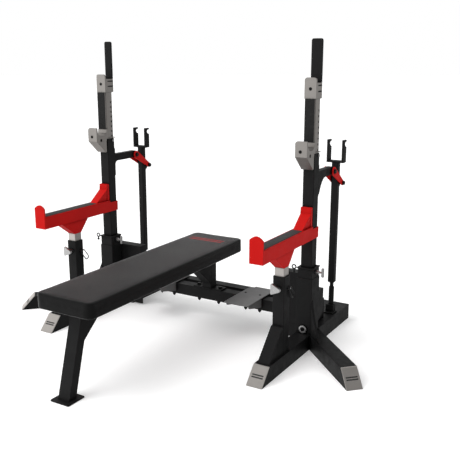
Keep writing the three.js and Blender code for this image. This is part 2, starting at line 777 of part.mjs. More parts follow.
// ---- assembly ----
function stand(side) {
  const tag = side > 0 ? "right" : "left";
  const group = new THREE.Group();
  group.name = `stand_${tag}`;
  group.position.x = side * STAND_X;
  const list = [
    ["base_frame", baseFrame(side), BLACK_STEEL],
    ["diagonal_leg", diagonalLeg(side), BLACK_STEEL],
    ["front_toe_cap", toePlate(BEAM.half, BEAM.toe), STAINLESS],
    ["diagonal_toe_cap", diagonalToe(side), STAINLESS],
    ["post_brace", postBrace(), BLACK_STEEL],
    ["safety_post", safetyPost(), BLACK_STEEL],
    ["upright_sleeve", uprightSleeve(side), BLACK_STEEL],
    ["upright_outer", uprightOuter(), BLACK_STEEL],
    ["upright_inner", uprightInner(), STAINLESS],
    ["bar_hook", barHook(), STAINLESS],
    ["hook_liner", hookLiner(), BLACK_PLASTIC],
    ["top_bracket", topBracket(), STAINLESS],
    ["guide_horn", guideHorn(side), BLACK_STEEL],
    ["safety_arm", safetyArm(), RED_STEEL],
    ["arm_pad", armPad(), RUBBER],
    ["arm_slide_tube", armTube(), STAINLESS],
    ["post_wing_pin", postWingPin(), ZINC],
    ["post_ring_pin", postRingPin(), ZINC],
    ["sleeve_tee_pin", sleeveTeePin(), ZINC],
    ["sleeve_ring_pin", sleeveRingPin(), ZINC],
    ["upright_lock_pin", uprightLockPin(), ZINC],
    ["jack_arm", jackArm(side), BLACK_STEEL],
    ["jack_links", jackLinks(), RED_STEEL],
    ["jack_lever", jackLever(), BLACK_STEEL],
    ["jack_handle", jackHandle(), BLACK_STEEL],
    ["handle_cradle", handleCradle(), BLACK_STEEL],
  ];
  for (const [name, manifold, look] of list) group.add(piece(`${name}_${tag}`, manifold, look));
  return group;
}

const bench = new THREE.Group();
bench.name = "bench";
bench.add(
  piece("bench_pad", benchPad(), VINYL),
  piece("pad_board", padBoard(), PLYWOOD),
  piece("bench_spine", benchSpine(), BLACK_STEEL),
  piece("bench_leg", benchLeg(), BLACK_STEEL),
  piece("bench_column", benchColumn(), BLACK_STEEL),
  piece("crossmember", crossmember(), BLACK_STEEL),
  piece("foot_step_left", footStep(-1), GREY_STEEL),
  piece("foot_step_right", footStep(1), GREY_STEEL),
);

// The floor under the middle of the whole object is the origin.
const root = new THREE.Group();
root.name = "bench_press";
root.position.y = -(FOOT_PLATE.y0 + REAR_BOX.y1) / 2;
root.add(bench, stand(-1), stand(1));

export default root;
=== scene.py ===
# Looks of a competition bench press with two height-adjustable stands, in metres.
# X runs across the bench, Y towards its head end and Z up, as in the CAD frame.
import json
import math

import bmesh
import bpy
from mathutils import Matrix, Vector
from mathutils.bvhtree import BVHTree


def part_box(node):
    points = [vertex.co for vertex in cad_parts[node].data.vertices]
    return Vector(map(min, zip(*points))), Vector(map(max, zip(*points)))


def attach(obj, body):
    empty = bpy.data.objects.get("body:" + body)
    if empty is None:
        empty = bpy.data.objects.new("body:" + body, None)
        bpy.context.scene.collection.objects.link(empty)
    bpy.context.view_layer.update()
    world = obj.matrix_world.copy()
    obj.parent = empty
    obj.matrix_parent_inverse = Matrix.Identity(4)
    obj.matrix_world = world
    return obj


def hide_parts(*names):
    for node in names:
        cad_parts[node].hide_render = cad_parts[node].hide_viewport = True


# ---- camera and studio ----
CAMERA_AT = (1.9412, -2.6839, 1.3804)
CAMERA_TURN = (76.47, 0.0, 30.84)  # degrees
LENS = 54.78  # mm, on a 36 mm sensor
CAMERA_SHIFT = (0.0084, -0.0045)
ROOM_LIGHT = (0.74, 0.36)  # how bright the room is at the horizon, and straight up or down
ROOM_SIDES = (1.1, 0.4)  # how much of that comes from the -X side and from the +X side
FLOOR_RADIUS = 60.0
PAPER_GLOW = 0.25  # light that comes through the floor's paper from below
KEY_LIGHT = {"coming_from": (-0.6, -0.8, 0.9), "spread": 60, "strength": 1.2}
CEILING_LIGHT = {"coming_from": (0, 0, 1), "spread": 130, "strength": 1.5}
FRONT_BOX = {"position": (-1.4, -1.9, 3.4), "target": (0.2, 0, 0.4), "size": 1.8, "power": 45}

# ---- CAD edges ----
EDGE_ROUND = 0.0011
FINE_ROUND = 0.0004
EDGE_ANGLE = 38  # degrees, the gentlest edge that is rounded
FINE_ANGLE = 50
FINE_SLOTS = ("zinc", "liner_plastic")
PAINTED_SHADE_REACH = 0.016  # a surface gets painted shade this close to a neighbouring one

# ---- cushion ----
PAD_INSET = 0.0006  # the moulded start is this much smaller than the finished cushion
PAD_CORNER = 0.031
PAD_EDGES = (0.0022, 0.0042)  # how far the lower and the upper edge roll over
PAD_VOXEL = 0.005
PAD_SWELL = 0.0012  # the foam is firm, so the cover moves no further than this
PAD_FRAMES = 20
SEAM_RISE = 0.007  # how far the stitching runs above the cushion's lower edge
STITCH = 0.0013

# ---- hardware ----
M10 = {"across": 0.016, "head": 0.0065, "washer": 0.0105}
M12 = {"across": 0.019, "head": 0.0075, "washer": 0.0125}
CLAMP_SLOTS = (1239, 1266)  # mm, how high the slots in the catch plate's clamp block are
LOCK_NUT = {"across": 0.018, "head": 0.013, "washer": 0.0115}
BEAD = 0.0024  # weld bead radius
BEAD_STEP = 0.0016
BEAD_RIPPLE = 3  # steps in one ripple

# ---- stainless toe caps ----
CAP_HIGH = 0.076
CAP_RUN = 0.070  # how far the sloping face runs back
CAP_REACH = 0.546  # from where a foot turns to the tip of its cap
DIAGONAL_ROOT = 0.042  # where the diagonal foot turns, behind the upright's line

SIDES = (("left", -1), ("right", 1))
STAND_X = 0.616
UPRIGHT_Y = 0.3125


# ---------------------------------------------------------------- materials
class Recipe:
    """A node material under construction: coordinates, noise and masks round one shader."""

    def __init__(self, name):
        self.material = bpy.data.materials.new(name)
        self.material.use_nodes = True
        self.tree = self.material.node_tree
        self.shader = self.tree.nodes["Principled BSDF"]
        self.place = self.node("ShaderNodeTexCoord").outputs["Object"]

    def node(self, kind, inputs=None, **settings):
        made = self.tree.nodes.new(kind)
        for key, value in settings.items():
            setattr(made, key, value)
        for key, value in (inputs or {}).items():
            self.feed(made.inputs[key], value)
        return made

    def feed(self, socket, value):
        if isinstance(value, bpy.types.NodeSocket):
            self.tree.links.new(value, socket)
        else:
            socket.default_value = value

    def stretched(self, scale):
        mapping = self.node("ShaderNodeMapping", {"Vector": self.place, "Scale": scale})
        return mapping.outputs["Vector"]

    def noise(self, scale, detail=2.0, where=None):
        inputs = {"Vector": where or self.place, "Scale": scale, "Detail": detail}
        return self.node("ShaderNodeTexNoise", inputs).outputs["Fac"]

    def ranged(self, value, low, high, to_low, to_high):
        inputs = {
            "Value": value,
            "From Min": low,
            "From Max": high,
            "To Min": to_low,
            "To Max": to_high,
        }
        return self.node("ShaderNodeMapRange", inputs).outputs["Result"]

    def product(self, first, second):
        return self.node("ShaderNodeMath", {0: first, 1: second}, operation="MULTIPLY").outputs[0]

    def mixed(self, amount, first, second):
        node = self.node("ShaderNodeMix", {0: amount, 6: first, 7: second}, data_type="RGBA")
        return node.outputs[2]

    def rubbed_and_highlit_edges(self, radius):
        """1 on sharp outer edges and 0 on flat faces, broken up by noise: rubbed paint, and on dark paint
        also a painted highlight.
        """
        rounded = self.node("ShaderNodeBevel", {"Radius": radius}, samples=4).outputs["Normal"]
        true_normal = self.node("ShaderNodeNewGeometry").outputs["Normal"]
        dot = self.node("ShaderNodeVectorMath", {0: rounded, 1: true_normal}, operation="DOT_PRODUCT")
        edge = self.ranged(dot.outputs["Value"], 0.99, 0.86, 0.0, 1.0)
        patches = self.ranged(self.noise(60.0, 3.0), 0.52, 0.66, 0.0, 1.0)
        return self.product(edge, patches)

    def painted_crease_shade(self, reach):
        """Mask for painted shade: near 0 in the creases where surfaces meet, and 1 in the open."""
        hidden = self.node("ShaderNodeAmbientOcclusion", {"Distance": reach}, samples=6)
        return self.ranged(hidden.outputs["AO"], 0.45, 0.92, 0.1, 1.0)

    def bump(self, height, strength, distance, under=None):
        inputs = {"Height": height, "Strength": strength, "Distance": distance}
        if under is not None:
            inputs["Normal"] = under
        return self.node("ShaderNodeBump", inputs).outputs["Normal"]

    def finish(self, **values):
        """Sets the shader's inputs by name, with spaces written as underscores."""
        for key, value in values.items():
            self.feed(self.shader.inputs[key.replace("_", " ")], value)
        return self.material


def grey(value, warmth=0.0):
    return (value * (1 + warmth), value, value * (1 - warmth), 1.0)


def scaled(colour, factor):
    return tuple(channel * factor for channel in colour[:3]) + (1.0,)


def powder_coat(name, colour, worn, gloss, texture, shine=0.2):
    """Baked powder paint: orange peel, slow mottling, rubbed edges (on dark paint also a painted
    highlight), and painted shade that darkens colour and reflection in the creases.
    """
    make = Recipe(name)
    mottle = make.mixed(make.noise(7.0, 4.0), scaled(colour, 0.86), scaled(colour, 1.14))
    # Edges take the edge colour: rubbed paint, and on dark paint also a lighter painted highlight.
    coat = make.mixed(make.rubbed_and_highlit_edges(0.0016), mottle, worn)
    # Painted shade: colour and reflection are darkened in creases near other surfaces.
    crease_shade_mask = make.painted_crease_shade(PAINTED_SHADE_REACH)
    base = make.mixed(crease_shade_mask, scaled(colour, 0.3), coat)
    rough = make.ranged(make.noise(26.0, 5.0), 0.3, 0.7, gloss - 0.06, gloss + 0.08)
    peel = make.bump(make.noise(520.0, 3.0), texture, 0.0006)
    broad = make.bump(make.noise(90.0, 2.0), texture * 0.5, 0.001, peel)
    return make.finish(
        Base_Color=base,
        Roughness=rough,
        Normal=broad,
        Specular_IOR_Level=make.product(crease_shade_mask, shine),
    )


def brushed_steel(name, colour, scale):
    """Stainless with fine streaks along the axis whose scale is smallest, faint handling marks, and painted
    shade in its creases.
    """
    make = Recipe(name)
    streaks = make.noise(1.0, 5.0, make.stretched(scale))
    marks = make.noise(14.0, 4.0)
    base = make.mixed(streaks, scaled(colour, 0.84), scaled(colour, 1.12))
    smeared = make.mixed(make.ranged(marks, 0.45, 0.7, 0.0, 0.35), base, scaled(colour, 0.8))
    # Painted shade: the steel is darkened in creases near other surfaces.
    shaded = make.mixed(make.painted_crease_shade(PAINTED_SHADE_REACH), scaled(colour, 0.2), smeared)
    rough = make.ranged(streaks, 0.3, 0.7, 0.3, 0.46)
    brushing = make.bump(streaks, 0.14, 0.0004)
    return make.finish(Base_Color=shaded, Metallic=1.0, Roughness=rough, Normal=brushing)


def zinc_plate(name):
    """Bright zinc with a faint mottle and small dimples."""
    make = Recipe(name)
    tone = make.noise(160.0, 4.0)
    base = make.mixed(tone, grey(0.72), grey(0.92, 0.01))
    rough = make.ranged(make.noise(45.0, 3.0), 0.3, 0.7, 0.22, 0.4)
    dimples = make.bump(tone, 0.12, 0.0004)
    return make.finish(Base_Color=base, Metallic=1.0, Roughness=rough, Normal=dimples)


def moulded_rubber(name, colour, grain):
    """Matt urethane with a fine moulded stipple and grey scuffs."""
    make = Recipe(name)
    scuffs = make.ranged(make.noise(38.0, 6.0, make.stretched((1.0, 0.25, 1.0))), 0.54, 0.7, 0.0, 0.5)
    base = make.mixed(scuffs, colour, scaled(colour, 1.5))
    rough = make.ranged(make.noise(70.0, 3.0), 0.3, 0.7, 0.62, 0.8)
    stipple = make.bump(make.noise(grain, 2.0), 0.35, 0.0006)
    return make.finish(Base_Color=base, Roughness=rough, Normal=stipple, Specular_IOR_Level=0.35)


def grained_vinyl(name, colour):
    """Upholstery vinyl: small pebbled cells over a soft fibrous tone, a little shinier in broad patches."""
    make = Recipe(name)
    cells = make.node(
        "ShaderNodeTexVoronoi", {"Vector": make.place, "Scale": 640.0}, feature="DISTANCE_TO_EDGE"
    ).outputs["Distance"]
    creases = make.ranged(cells, 0.0, 0.12, 0.0, 1.0)
    tone = make.mixed(make.noise(11.0, 5.0), scaled(colour, 0.88), scaled(colour, 1.14))
    base = make.mixed(creases, scaled(colour, 0.7), tone)
    rough = make.ranged(make.noise(5.0, 3.0), 0.3, 0.7, 0.44, 0.56)
    pebbles = make.bump(creases, 0.3, 0.0005)
    fibre = make.bump(make.noise(1500.0, 2.0), 0.2, 0.0003, pebbles)
    return make.finish(
        Base_Color=base,
        Roughness=rough,
        Normal=fibre,
        Specular_IOR_Level=0.17,
        Sheen_Weight=0.66,
        Sheen_Roughness=0.24,
    )


def stained_ply(name):
    """Birch plywood stained black, with its grain and plies still showing."""
    make = Recipe(name)
    grain = make.noise(1.0, 6.0, make.stretched((120.0, 7.0, 900.0)))
    base = make.mixed(grain, (0.011, 0.01, 0.009, 1.0), (0.03, 0.026, 0.022, 1.0))
    return make.finish(
        Base_Color=base,
        Roughness=make.ranged(grain, 0.3, 0.7, 0.6, 0.8),
        Normal=make.bump(grain, 0.3, 0.0006),
    )


def screen_print(name, colour):
    """Thin printed ink, slightly broken where it sits on the grain."""
    make = Recipe(name)
    worn = make.ranged(make.noise(340.0, 4.0), 0.6, 0.78, 0.0, 0.6)
    base = make.mixed(worn, colour, scaled(colour, 0.55))
    ink = make.bump(make.noise(700.0, 2.0), 0.2, 0.0003)
    rough = make.ranged(make.noise(50.0, 2.0), 0.3, 0.7, 0.5, 0.65)
    return make.finish(Base_Color=base, Roughness=rough, Normal=ink)


def studio_paper(name):
    """White seamless paper for the floor."""
    make = Recipe(name)
    base = make.mixed(make.noise(2.0, 3.0), grey(0.87), grey(0.89))
    return make.finish(
        Base_Color=base,
        Roughness=0.95,
        Specular_IOR_Level=0.0,
        Emission_Color=grey(1.0),
        Emission_Strength=PAPER_GLOW,
        Normal=make.bump(make.noise(300.0, 2.0), 0.02, 0.0005),
    )


BLACK = (0.0085, 0.0085, 0.0087, 1.0)
RED = (0.46, 0.0075, 0.0065, 1.0)
STEEL = (0.56, 0.53, 0.5, 1.0)

LOOKS = {
    # Each paint's second colour is its edge colour: rubbed paint, lighter on the dark paints, where it is
    # also a painted highlight.
    "black_paint": powder_coat("black_powder_coat", BLACK, grey(0.05), 0.5, 0.3),
    "red_paint": powder_coat("red_powder_coat", RED, (0.34, 0.006, 0.007, 1.0), 0.46, 0.16, 0.05),
    "grey_paint": powder_coat("grey_powder_coat", grey(0.16), grey(0.24), 0.62, 0.4),
    "stainless": brushed_steel("brushed_stainless", STEEL, (700.0, 700.0, 14.0)),
    "zinc": zinc_plate("bright_zinc"),
    "rubber": moulded_rubber("urethane_strip", grey(0.03), 420.0),
    "liner_plastic": moulded_rubber("hook_liner_plastic", grey(0.012), 260.0),
    "vinyl": grained_vinyl("grained_vinyl", grey(0.006)),
    "plywood": stained_ply("black_stained_ply"),
}
# A lighter copy of the stainless for the toe caps and slide tubes: painted light, brighter than the same
# steel elsewhere.
LIGHTER_STEEL_COPY = brushed_steel("bright_stainless", scaled(STEEL, 1.6), (700.0, 700.0, 14.0))
LIGHTER_COPY_NODES = ("toe_cap", "slide_tube")
RED_INK = screen_print("red_ink", (0.5, 0.012, 0.012, 1.0))
DARK_INK = screen_print("dark_ink", grey(0.03))
SPRING_WIRE = powder_coat("dark_spring_wire", grey(0.012), grey(0.06), 0.34, 0.1, 0.3)
BLACK_OXIDE = powder_coat("black_oxide", grey(0.01), grey(0.09), 0.38, 0.12)


# ---------------------------------------------------------------- mesh tools
def made_object(name, mesh, material, body, sharp=34.0):
    """Turns a bmesh into a smooth-shaded piece that rides on a body."""
    mesh.normal_update()
    data = bpy.data.meshes.new(name)
    mesh.to_mesh(data)
    mesh.free()
    data.materials.append(material)
    data.shade_smooth()
    data.set_sharp_from_angle(angle=math.radians(sharp))
    piece = bpy.data.objects.new(name, data)
    bpy.context.scene.collection.objects.link(piece)
    if body:
        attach(piece, body)
    return piece


def skin(mesh, rings, closed=False):
    """Joins equal rings of vertices with quads, and caps both ends unless the rings close up."""
    count = len(rings[0])
    pairs = list(zip(rings, rings[1:] + rings[:1] if closed else rings[1:]))
    for low, high in pairs:
        for step in range(count):
            after = (step + 1) % count
            mesh.faces.new((low[step], low[after], high[after], high[step]))
    if not closed:
        mesh.faces.new(list(reversed(rings[0])))
        mesh.faces.new(rings[-1])


def turned(mesh, profile, origin, axis, segments=28, outline=None):
    """A turned solid; profile holds (radius, distance along the axis) from base to tip.

    outline(angle) scales the radius where a section isn't round."""
    turn = Vector((0, 0, 1)).rotation_difference(Vector(axis)).to_matrix()
    rings = []
    for radius, along in profile:
        ring = []
        for step in range(segments):
            angle = math.tau * step / segments
            reach = radius * (outline(angle) if outline else 1.0)
            local = Vector((reach * math.cos(angle), reach * math.sin(angle), along))
            ring.append(mesh.verts.new(Vector(origin) + turn @ local))
        rings.append(ring)
    skin(mesh, rings)


def hexagon(angle):
    """Radius of a hexagon whose flats are 1 from its centre."""
    return 1 / math.cos((angle + math.pi / 6) % (math.pi / 3) - math.pi / 6)


def hex_head(mesh, origin, axis, size):
    """A washer with a chamfered hexagon on it."""
    across, head, washer = size["across"] / 2, size["head"], size["washer"]
    thick = 0.0016
    seat = [
        (washer * 0.94, 0.0),
        (washer, 0.0004),
        (washer, thick - 0.0004),
        (washer * 0.95, thick),
    ]
    turned(mesh, seat, origin, axis)
    foot = Vector(origin) + Vector(axis) * thick
    turned(mesh, [(across, 0.0), (across, head - 0.0014)], foot, axis, 24, hexagon)
    crown = foot + Vector(axis) * (head - 0.0014)
    turned(mesh, [(across * 1.02, 0.0), (across * 0.93, 0.0014)], crown, axis)


def thread(mesh, origin, axis, radius, length):
    """The bare end of a bolt, with its thread as ridges and a chamfered tip."""
    pitch = 0.0014
    profile = []
    for turn in range(int(length / pitch)):
        profile.append((radius * 0.9, turn * pitch))
        profile.append((radius, (turn + 0.5) * pitch))
    profile.append((radius * 0.78, length))
    turned(mesh, profile, origin, axis, 18)


def sweep(mesh, path, radius, segments=10, closed=False):
    """A round bar along a path; radius is a number or a function of the step."""
    count = len(path)
    across = None
    rings = []
    for step, point in enumerate(path):
        before = path[step - 1] if closed or step else point
        after = path[(step + 1) % count] if closed or step + 1 < count else point
        along = (after - before).normalized()
        if across is None:
            across = along.orthogonal()
        across = (across - along * across.dot(along)).normalized()
        over = along.cross(across)
        reach = radius(step) if callable(radius) else radius
        ring = []
        for turn in range(segments):
            angle = math.tau * turn / segments
            spoke = across * math.cos(angle) + over * math.sin(angle)
            ring.append(mesh.verts.new(point + spoke * reach))
        rings.append(ring)
    skin(mesh, rings, closed)


def walked(points, step):
    """Evenly spaced points along a polyline."""
    path = []
    for start, end in zip(points, points[1:]):
        pieces = max(1, round((end - start).length / step))
        path += [start.lerp(end, index / pieces) for index in range(pieces)]
    path.append(points[-1])
    return path


def rounded_loop(half_width, half_length, radius, steps=10):
    """Points round a rounded rectangle centred on the origin, in the XY plane."""
    points = []
    corners = ((1, 1, 0), (-1, 1, 90), (-1, -1, 180), (1, -1, 270))
    for x_sign, y_sign, start in corners:
        centre = Vector((x_sign * (half_width - radius), y_sign * (half_length - radius), 0))
        for step in range(steps + 1):
            angle = math.radians(start + 90 * step / steps)
            points.append(centre + Vector((math.cos(angle), math.sin(angle), 0)) * radius)
    return points


def at_stand(side, x, y, z):
    """A point given in millimetres from a stand's upright, as metres in the CAD frame."""
    return Vector((side * STAND_X + x / 1000, UPRIGHT_Y + y / 1000, z / 1000))


def at_bench(x, y, z):
    """A point given in millimetres from the uprights' line on the bench's middle plane."""
    return Vector((x / 1000, UPRIGHT_Y + y / 1000, z / 1000))


# ---------------------------------------------------------------- carried-over CAD nodes
def dress_cad(node, slot):
    """Rounds a CAD node's edges with modifiers only, and gives it its slot's material."""
    data = node.data
    if "custom_normal" in data.attributes:
        data.attributes.remove(data.attributes["custom_normal"])
    data.shade_smooth()
    weld = node.modifiers.new("Weld", "WELD")
    weld.merge_threshold = 0.00002
    rounding = node.modifiers.new("Rounded_edges", "BEVEL")
    fine = slot in FINE_SLOTS
    rounding.width = FINE_ROUND if fine else EDGE_ROUND
    rounding.segments = 2
    rounding.limit_method = "ANGLE"
    rounding.angle_limit = math.radians(FINE_ANGLE if fine else EDGE_ANGLE)
    rounding.use_clamp_overlap = False
    flat = node.modifiers.new("Flat_faces", "WEIGHTED_NORMAL")
    flat.weight = 80
    # Toe caps and slide tubes take the lighter copy of the stainless, which is painted light.
    bright = slot == "stainless" and any(word in node.name for word in LIGHTER_COPY_NODES)
    for holder in node.material_slots:
        holder.material = LIGHTER_STEEL_COPY if bright else LOOKS[slot]


# ---------------------------------------------------------------- cushion
def moulded_block(low, high, corner, lower_edge, upper_edge):
    """A closed block with round corners in plan and rolled edges above and below."""
    size = (high - low) / 2
    centre = (high + low) / 2
    mesh = bmesh.new()
    levels = []
    for edge, end, turns in ((lower_edge, -1, range(5)), (upper_edge, 1, range(4, -1, -1))):
        for turn in turns:
            angle = math.radians(22.5 * turn)
            inset = edge * (1 - math.sin(angle))
            levels.append((inset, end * (size.z - edge * (1 - math.cos(angle)))))
    rings = []
    for inset, height in levels:
        loop = rounded_loop(size.x - inset, size.y - inset, corner - inset * 0.5)
        rings.append([mesh.verts.new(centre + point + Vector((0, 0, height))) for point in loop])
    skin(mesh, rings)
    return mesh


def remeshed(piece, voxel):
    """Rebuilds the mesh as even quads."""
    modifier = piece.modifiers.new("Even_quads", "REMESH")
    modifier.mode = "VOXEL"
    modifier.voxel_size = voxel
    settle(piece)


def settle(piece):
    """Applies the modifiers by swapping in the evaluated mesh."""
    graph = bpy.context.evaluated_depsgraph_get()
    data = bpy.data.meshes.new_from_object(piece.evaluated_get(graph))
    piece.modifiers.clear()
    piece.data = data


def swell(piece, held, limit):
    """Cloth simulation with pressure inside; held(point) tells which points stay where they are."""
    pinned = [v.index for v in piece.data.vertices if held(v.co)]
    group = piece.vertex_groups.new(name="held")
    group.add(pinned, 1.0, "REPLACE")
    cloth = piece.modifiers.new("Pressure", "CLOTH")
    settings = cloth.settings
    settings.quality = 5
    settings.mass = 0.4
    settings.tension_stiffness = 12
    settings.compression_stiffness = 12
    settings.bending_stiffness = 4
    settings.use_pressure = True
    settings.uniform_pressure_force = 4
    settings.vertex_group_mass = "held"
    settings.effector_weights.gravity = 0
    scene = bpy.context.scene
    for number in range(1, PAD_FRAMES + 1):
        scene.frame_set(number)
    graph = bpy.context.evaluated_depsgraph_get()
    grown = [v.co.copy() for v in piece.evaluated_get(graph).data.vertices]
    piece.modifiers.remove(cloth)
    scene.frame_set(1)
    for vertex, target in zip(piece.data.vertices, grown):
        move = target - vertex.co
        if move.length > limit:
            move *= limit / move.length
        vertex.co += move


def bench_cushion():
    """The bench's foam pad under tight vinyl: flat underneath, crowned on top."""
    low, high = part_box("bench_pad")
    inset = Vector((PAD_INSET, PAD_INSET, PAD_INSET))
    start = moulded_block(low + inset, high - inset, PAD_CORNER, *PAD_EDGES)
    pad = made_object("bench_cushion", start, LOOKS["vinyl"], None)
    remeshed(pad, PAD_VOXEL)
    swell(pad, lambda point: point.z < low.z + 3 * PAD_INSET, PAD_SWELL)
    smoothing = pad.modifiers.new("Finer", "SUBSURF")
    smoothing.levels = 1
    smoothing.render_levels = 1
    settle(pad)
    pad.data.shade_smooth()
    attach(pad, "frame")
    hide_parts("bench_pad")
    return pad


def cushion_stitching(pad):
    """A fine row of stitches round the cushion's sides, where the cover's band meets its underside."""
    low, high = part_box("bench_pad")
    half = (high - low) / 2
    centre = Vector((low.x + half.x, low.y + half.y, low.z + SEAM_RISE))
    loop = [centre + point for point in rounded_loop(half.x, half.y, PAD_CORNER)]
    tree = BVHTree.FromObject(pad, bpy.context.evaluated_depsgraph_get())
    path = []
    for point in walked(loop + loop[:1], STITCH)[:-1]:
        surface, normal = tree.find_nearest(point)[:2]
        path.append(surface + normal * 0.0001)
    mesh = bmesh.new()
    sweep(mesh, path, lambda step: 0.0005 if step % 3 else 0.0002, 6, closed=True)
    made_object("cushion_stitching", mesh, LOOKS["vinyl"], "frame", 80)


def printed_bar(name, tree, centre, width, depth):
    """A thin rectangle of ink laid on a surface below it."""
    columns, rows = 48, 3
    mesh = bmesh.new()
    grid = []
    for row in range(rows + 1):
        line = []
        for column in range(columns + 1):
            x = centre.x + width * (column / columns - 0.5)
            y = centre.y + depth * (row / rows - 0.5)
            hit = tree.ray_cast(Vector((x, y, 1.0)), Vector((0, 0, -1)))[0]
            line.append(mesh.verts.new(hit + Vector((0, 0, 0.0004))))
        grid.append(line)
    for lower, upper in zip(grid, grid[1:]):
        for column in range(columns):
            mesh.faces.new((lower[column], lower[column + 1], upper[column + 1], upper[column]))
    made_object(name, mesh, RED_INK, "frame")


def pad_marks(pad):
    """Two plain red bars across the head end, in place of lettering."""
    graph = bpy.context.evaluated_depsgraph_get()
    tree = BVHTree.FromObject(pad, graph)
    for name, y in (("pad_bar_front", 42), ("pad_bar_rear", 68)):
        printed_bar(name, tree, at_bench(-3, y, 0), 0.2, 0.0075)


# ---------------------------------------------------------------- hardware
def bolt(name, body, origin, axis, size):
    """A hexagon head on its washer, pointing along axis."""
    mesh = bmesh.new()
    hex_head(mesh, origin, axis, size)
    return made_object(name, mesh, BLACK_OXIDE, body, 30)


def nut_and_end(name, body, origin, axis, size, reach):
    """A nut on its washer, with the bolt's thread standing out of it by reach."""
    mesh = bmesh.new()
    hex_head(mesh, origin, axis, size)
    tip = Vector(origin) + Vector(axis) * size["head"]
    thread(mesh, tip, axis, size["across"] * 0.3, reach)
    return made_object(name, mesh, BLACK_OXIDE, body, 30)


def button_screw(name, body, origin, axis, radius):
    """A low round head with a hexagon socket."""
    mesh = bmesh.new()
    dome = [(1.0, 0.0), (0.98, 0.12), (0.82, 0.3), (0.5, 0.38), (0.44, 0.38), (0.42, 0.12)]
    turned(mesh, [(radius * r, radius * h) for r, h in dome], origin, axis, 24)
    return made_object(name, mesh, BLACK_OXIDE, body, 30)


def rail_hardware():
    """Bolts through the steps and the column's plate, with their nuts hanging under the front rail."""
    rail_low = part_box("crossmember")[0].z + 0.012
    plate_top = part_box("bench_column")[0].z + 0.007
    step_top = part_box("foot_step_right")[1].z
    for tag, side in SIDES:
        for index, x in enumerate((62, 230, 314)):
            below = at_bench(side * x, 72, 0)
            below.z = rail_low
            nut_and_end(f"rail_nut_{tag}_{index + 1}", "frame", below, (0, 0, -1), LOCK_NUT, 0.008)
        above = at_bench(side * 68, 81, 0)
        above.z = plate_top
        bolt(f"column_bolt_{tag}", "frame", above, (0, 0, 1), M12)
        for index, x in enumerate((224, 310)):
            head = at_bench(side * x, 81, 0)
            head.z = step_top
            button_screw(f"step_screw_{tag}_{index + 1}", "frame", head, (0, 0, 1), 0.0065)
        for index, z in enumerate((128, 157)):
            face = at_bench(side * 431, 129, z)
            bolt(f"rail_end_bolt_{tag}_{index + 1}", "frame", face, (-side, 0, 0), M10)


def pad_hardware():
    """Bolts that hold the board to the spine's straps, seen from below."""
    strap_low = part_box("bench_spine")[1].z - 0.005
    for row, y in enumerate((-880, -500, -60)):
        for tag, side in SIDES:
            point = at_bench(side * 88, y, 0)
            point.z = strap_low
            bolt(f"board_bolt_{tag}_{row + 1}", "frame", point, (0, 0, -1), M10)


def link_hardware(tag, side):
    """Heads and nuts on the jack links' two pins."""
    for name, y, z in (("upper", 227, 842), ("lower", 345, 767)):
        outer = at_stand(side, side * 26, y, z)
        inner = at_stand(side, -side * 26, y, z)
        bolt(f"link_bolt_{name}_{tag}", f"links_{tag}", outer, (side, 0, 0), M12)
        bolt(f"link_nut_{name}_{tag}", f"links_{tag}", inner, (-side, 0, 0), M12)


def bracket_screws(tag, side):
    """The clamp screws behind the catch plate's block, and the ones in the catch plate and the hook."""
    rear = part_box(f"top_bracket_{tag}")[1].y
    for index, z in enumerate(CLAMP_SLOTS):
        point = Vector((side * STAND_X, rear, (z - 14) / 1000))
        button_screw(f"clamp_screw_{tag}_{index + 1}", f"upright_{tag}", point, (0, 1, 0), 0.0055)
    for name, x, y, z in (("catch", 0, -33, 1251), ("hook", -4, -118, 974)):
        head = at_stand(side, x, y, z)
        button_screw(f"{name}_screw_{tag}", f"upright_{tag}", head, (0, -1, 0), 0.0078)


def clamp_slot_shade_strips(tag, side):
    """Black strips in the slots of the catch plate's clamp block: painted shadow, dark sheets laid where
    the slots are in shade.
    """
    for index, z in enumerate(CLAMP_SLOTS):
        for face in (-1, 1):
            middle = at_stand(side, face * 26.4, 12, z)
            size = Vector((0.0008, 0.0215, 0.0028))
            strip = moulded_block(middle - size, middle + size, 0.0006, 0.0004, 0.0004)
            name = f"clamp_gasket_{tag}_{index + 1}_{'outer' if face == side else 'inner'}"
            # Painted shadow: a dark strip where the slot is in shade.
            made_object(name, strip, LOOKS["liner_plastic"], f"upright_{tag}")


def tube_plug(tag):
    """The plug in the inner upright's open top."""
    low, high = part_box(f"upright_inner_{tag}")
    centre = (low + high) / 2
    half = (high.x - low.x) / 2 - 0.0045
    middle = Vector((centre.x, centre.y, high.z - 0.002))
    size = Vector((half, half, 0.002))
    plug = moulded_block(middle - size, middle + size, 0.003, 0.0012, 0.0012)
    made_object(f"tube_plug_{tag}", plug, LOOKS["liner_plastic"], f"upright_{tag}")


def sleeve_boss(tag, side):
    """A bright washer round the socket screw in the boss at the foot of the sleeve."""
    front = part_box(f"upright_sleeve_{tag}")[0].y
    centre = Vector((side * STAND_X, front, 0.098))
    washer = [(0.0124, -0.0058), (0.0124, 0.0), (0.0194, 0.0), (0.0194, 0.0012)]
    washer += [(0.0184, 0.002), (0.0132, 0.002), (0.0118, 0.001), (0.0118, -0.0056)]
    mesh = bmesh.new()
    turned(mesh, washer, centre, (0, -1, 0), 40)
    made_object(f"boss_washer_{tag}", mesh, LOOKS["zinc"], "frame")
    seat = centre + Vector((0, 0.0056, 0))
    button_screw(f"boss_screw_{tag}", "frame", seat, (0, -1, 0), 0.0112)


